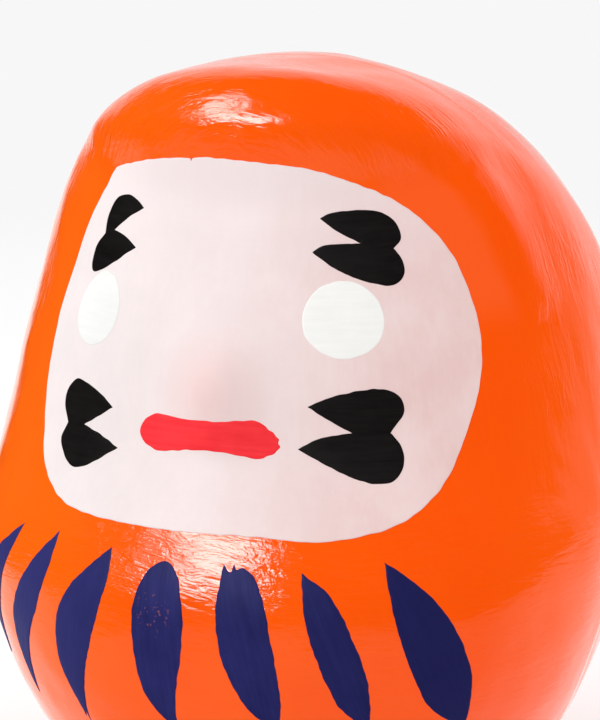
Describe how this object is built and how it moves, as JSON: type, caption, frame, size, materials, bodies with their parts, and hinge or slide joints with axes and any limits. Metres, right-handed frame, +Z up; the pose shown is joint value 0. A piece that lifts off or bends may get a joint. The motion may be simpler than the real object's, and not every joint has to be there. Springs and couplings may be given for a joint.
{
  "type": "daruma doll",
  "caption": "Hollow papier-mache tumbler doll with a sunken painted face, blank eyes and brush-stroke robe marks, weighted inside so it rights itself, resting on a flat paper-covered base.",
  "frame": {"origin": "centre of the flat base, on the surface the doll stands on", "axes": "+Z up, the doll looks along -Y, and its own left-hand side is +X"},
  "size_m": [0.1342, 0.1278, 0.1513],
  "materials": {
    "orange_lacquer": "gloss",
    "seam_lacquer": "gloss",
    "face_pink": "satin",
    "left_eye_paint": "satin",
    "right_eye_paint": "satin",
    "black_paint": "satin",
    "red_paint": "satin",
    "navy_paint": "satin",
    "pasteboard": "matte",
    "dried_clay": "matte",
    "plain_paper": "matte"
  },
  "bodies": {
    "root": {"front_shell": "orange_lacquer", "rear_shell": "orange_lacquer", "seam_paper_left": "seam_lacquer", "seam_paper_right": "seam_lacquer", "seam_paper_crown": "seam_lacquer", "base_disc": "pasteboard", "clay_weight": "dried_clay", "base_paper": "plain_paper", "face_patch": "face_pink", "left_eye": "left_eye_paint", "right_eye": "right_eye_paint", "left_brow": "black_paint", "right_brow": "black_paint", "left_whiskers": "black_paint", "right_whiskers": "black_paint", "mouth": "red_paint", "stroke_1": "navy_paint", "stroke_2": "navy_paint", "stroke_3": "navy_paint", "stroke_4": "navy_paint", "stroke_5": "navy_paint", "stroke_6": "navy_paint", "stroke_7": "navy_paint"}
  },
  "joints": []
}
